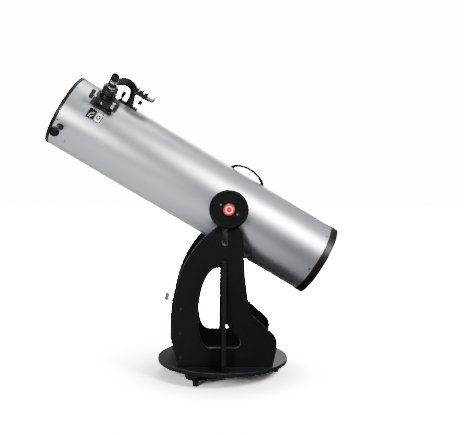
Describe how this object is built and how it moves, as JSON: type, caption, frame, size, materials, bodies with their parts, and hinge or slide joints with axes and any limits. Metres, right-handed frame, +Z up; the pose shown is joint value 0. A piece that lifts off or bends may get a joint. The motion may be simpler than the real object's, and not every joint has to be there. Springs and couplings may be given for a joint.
{
  "type": "dobsonian telescope",
  "caption": "Solid-tube Newtonian reflector on a rocker base that turns in azimuth and altitude, with a focuser, eyepiece and phone dock.",
  "frame": {"origin": "azimuth axis at the floor, under the middle of the three feet", "axes": "+Z up, the tube mouth points to -X and up, +X is the mirror end, the near side with the focuser and guide knob is -Y"},
  "size_m": [1.4235, 0.644, 1.4428],
  "materials": {
    "tube_silver": "metallic silver paint, satin clear coat",
    "board_black": "black melamine laminate on particle board, fine satin texture",
    "board_top": "dark blue-grey laminate, satin",
    "moulded_black": "fine-textured moulded plastic",
    "ring_black": "satin black powder coat",
    "anodised_black": "black anodised, fine turned grain",
    "bright_metal": "bright turned and plated",
    "zinc": "zinc plated",
    "black_steel": "black oxide, satin",
    "rack_grey": "grey powder coat",
    "cap_orange": "gloss orange-red",
    "rubber_black": "matte rubber",
    "mirror_glass": "polished, aluminised front",
    "nylon_white": "smooth natural nylon",
    "label": "printed film, black and white blocks"
  },
  "bodies": {
    "ground": {"ground_board": "board_black", "feet": "rubber_black", "foot_screws": "zinc", "azimuth_pads": "nylon_white", "azimuth_bolt": "zinc", "azimuth_nut": "zinc"},
    "rocker": {"top_board": "board_top", "azimuth_bush": "nylon_white", "side_panel_near": "board_black", "side_panel_far": "board_black", "panel_ribs": "board_black", "front_board": "board_black", "board_screws": "black_steel", "eyepiece_rack": "rack_grey", "cradle_liners": "nylon_white"},
    "tube_assembly": {"tube": "tube_silver", "front_ring": "ring_black", "rear_ring": "ring_black", "ring_screws": "black_steel", "altitude_bearing_near": "moulded_black", "altitude_bearing_far": "moulded_black", "bearing_caps": "cap_orange", "bearing_screws": "zinc", "tube_handle": "moulded_black", "handle_screws": "zinc", "guide_knob": "moulded_black", "mirror_cell": "ring_black", "mirror_plate": "ring_black", "primary_mirror": "mirror_glass", "mirror_clips": "moulded_black", "collimation_springs": "bright_metal", "lock_bolts": "zinc", "spider": "ring_black", "spider_nuts": "zinc", "secondary_holder": "anodised_black", "secondary_mirror": "mirror_glass", "secondary_screws": "zinc", "focuser_base": "anodised_black", "focuser_body": "anodised_black", "focuser_screws": "black_steel", "dock_base": "moulded_black", "dock_arm": "moulded_black", "label_plate": "label"},
    "collimation_knob_1": {"collimation_knob_1": "moulded_black"},
    "collimation_knob_2": {"collimation_knob_2": "moulded_black"},
    "collimation_knob_3": {"collimation_knob_3": "moulded_black"},
    "drawtube": {"drawtube": "anodised_black"},
    "drawtube_thumbscrew": {"drawtube_thumbscrew": "bright_metal"},
    "adapter": {"eyepiece_adapter": "anodised_black"},
    "adapter_thumbscrew": {"adapter_thumbscrew": "bright_metal"},
    "eyepiece": {"eyepiece": "anodised_black", "eyecup": "rubber_black"},
    "coarse_focus": {"focus_shaft": "bright_metal", "coarse_knobs": "anodised_black"},
    "fine_focus": {"fine_knob": "bright_metal"},
    "focus_lock": {"focus_lock_screw": "bright_metal"},
    "dock_lever": {"dock_lever": "moulded_black"},
    "phone_tray": {"phone_tray": "moulded_black"},
    "phone_clamp": {"phone_clamp": "rubber_black"},
    "tray_knob": {"tray_knob": "moulded_black"}
  },
  "joints": [
    {"name": "azimuth", "type": "hinge", "parent": "ground", "child": "rocker", "pos_m": [0, 0, 0.066], "axis": [0, 0, 1], "continuous": true},
    {"name": "altitude", "type": "hinge", "parent": "rocker", "child": "tube_assembly", "pos_m": [0.015, 0, 0.828], "axis": [0, 1, 0], "range_deg": [-30.3, 59.7]},
    {"name": "collimation_turn_1", "type": "hinge", "parent": "tube_assembly", "child": "collimation_knob_1", "pos_m": [0.51753, 0, 0.67912], "axis": [-0.8634, 0, 0.5045], "range_deg": [-360, 360]},
    {"name": "collimation_turn_2", "type": "hinge", "parent": "tube_assembly", "child": "collimation_knob_2", "pos_m": [0.42294, 0.10825, 0.51723], "axis": [-0.8634, 0, 0.5045], "range_deg": [-360, 360]},
    {"name": "collimation_turn_3", "type": "hinge", "parent": "tube_assembly", "child": "collimation_knob_3", "pos_m": [0.42294, -0.10825, 0.51723], "axis": [-0.8634, 0, 0.5045], "range_deg": [-360, 360]},
    {"name": "focus", "type": "slide", "parent": "tube_assembly", "child": "drawtube", "axis": [0.3568, -0.7071, 0.6105], "range_m": [-0.01, 0.028]},
    {"name": "coarse_focus_turn", "type": "hinge", "parent": "tube_assembly", "child": "coarse_focus", "pos_m": [-0.56045, -0.1796, 1.31987], "axis": [-0.8634, 0, 0.5045], "range_deg": [-360, 130]},
    {"name": "fine_focus_turn", "type": "hinge", "parent": "tube_assembly", "child": "fine_focus", "pos_m": [-0.56045, -0.1796, 1.31987], "axis": [-0.8634, 0, 0.5045], "range_deg": [-3570, 1275]},
    {"name": "focus_lock_turn", "type": "hinge", "parent": "tube_assembly", "child": "focus_lock", "pos_m": [-0.56853, -0.19049, 1.31198], "axis": [-0.3568, -0.7071, -0.6105], "range_deg": [-180, 180]},
    {"name": "drawtube_thumbscrew_turn", "type": "hinge", "parent": "drawtube", "child": "drawtube_thumbscrew", "pos_m": [-0.53048, -0.19375, 1.37115], "axis": [0.6893, -0.2418, -0.6829], "range_deg": [-180, 180]},
    {"name": "adapter_thumbscrew_turn", "type": "hinge", "parent": "adapter", "child": "adapter_thumbscrew", "pos_m": [-0.52299, -0.2086, 1.38397], "axis": [-0.9333, -0.2988, 0.1992], "range_deg": [-180, 180]},
    {"name": "adapter_out", "type": "slide", "parent": "drawtube", "child": "adapter", "axis": [0.3568, -0.7071, 0.6105], "range_m": [0, 0.023]},
    {"name": "eyepiece_out", "type": "slide", "parent": "adapter", "child": "eyepiece", "axis": [0.3568, -0.7071, 0.6105], "range_m": [0, 0.025]},
    {"name": "dock_lever_turn", "type": "hinge", "parent": "tube_assembly", "child": "dock_lever", "pos_m": [-0.50117, -0.03143, 1.33608], "axis": [-0.0876, -0.9848, -0.1499], "range_deg": [0, 25]},
    {"name": "tray_shift", "type": "slide", "parent": "tube_assembly", "child": "phone_tray", "axis": [-0.0876, -0.9848, -0.1499], "range_m": [-0.006, 0.006]},
    {"name": "phone_clamp_slide", "type": "slide", "parent": "phone_tray", "child": "phone_clamp", "axis": [-0.0876, -0.9848, -0.1499], "range_m": [0, 0.018], "stiffness_N_per_m": 60},
    {"name": "tray_knob_turn", "type": "hinge", "parent": "phone_tray", "child": "tray_knob", "pos_m": [-0.40705, -0.06184, 1.32074], "axis": [0.4969, -0.1736, 0.8503], "range_deg": [-180, 180]}
  ],
  "couplings": [
    {"joint": "coarse_focus_turn", "follows": "focus", "rad_per_m": -222.22},
    {"joint": "fine_focus_turn", "follows": "focus", "rad_per_m": -2222.2}
  ]
}
